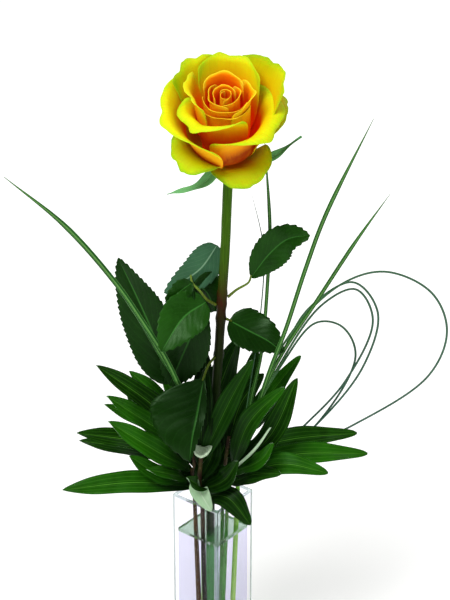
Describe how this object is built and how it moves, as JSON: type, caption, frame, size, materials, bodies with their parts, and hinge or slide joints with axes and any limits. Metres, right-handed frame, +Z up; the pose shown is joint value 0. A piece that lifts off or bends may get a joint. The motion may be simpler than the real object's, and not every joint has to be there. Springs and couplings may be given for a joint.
{
  "type": "rose in a bud vase",
  "caption": "Open yellow-orange rose with leaves, leafy twigs and looped grass in a tall square clear glass bud vase with water.",
  "frame": {"origin": "middle of the vase's flat base", "axes": "+Z up; X and Y square to the vase's sides; the bouquet's front looks along (0.63, -0.78, 0)"},
  "size_m": [0.2409, 0.2696, 0.5956],
  "materials": {
    "glass": "clear polished glass",
    "water": "still clear water",
    "rose_stem": "smooth green stem, reddish at the leaf joints",
    "petals": "velvety petals, orange in the heart and lemon yellow at the lips",
    "rose_leaf": "dark green leaf, slightly glossy, paler beneath",
    "twig_leaf": "smooth dark green leaf on a brown twig, paler beneath",
    "grass": "fine green grass blade"
  },
  "bodies": {
    "root": {"vase": "glass", "water": "water", "rose_stem": "rose_stem", "rose_bloom": "petals", "rose_leaf_upper_left": "rose_leaf", "rose_leaf_lower_left": "rose_leaf", "rose_leaf_front_left": "rose_leaf", "rose_leaf_upper_right": "rose_leaf", "rose_leaf_front_right": "rose_leaf", "twig_left": "twig_leaf", "twig_left_low": "twig_leaf", "twig_cut": "twig_leaf", "twig_right": "twig_leaf", "twig_right_high": "twig_leaf", "twig_back": "twig_leaf", "grass_left": "grass", "grass_right": "grass"}
  },
  "joints": []
}
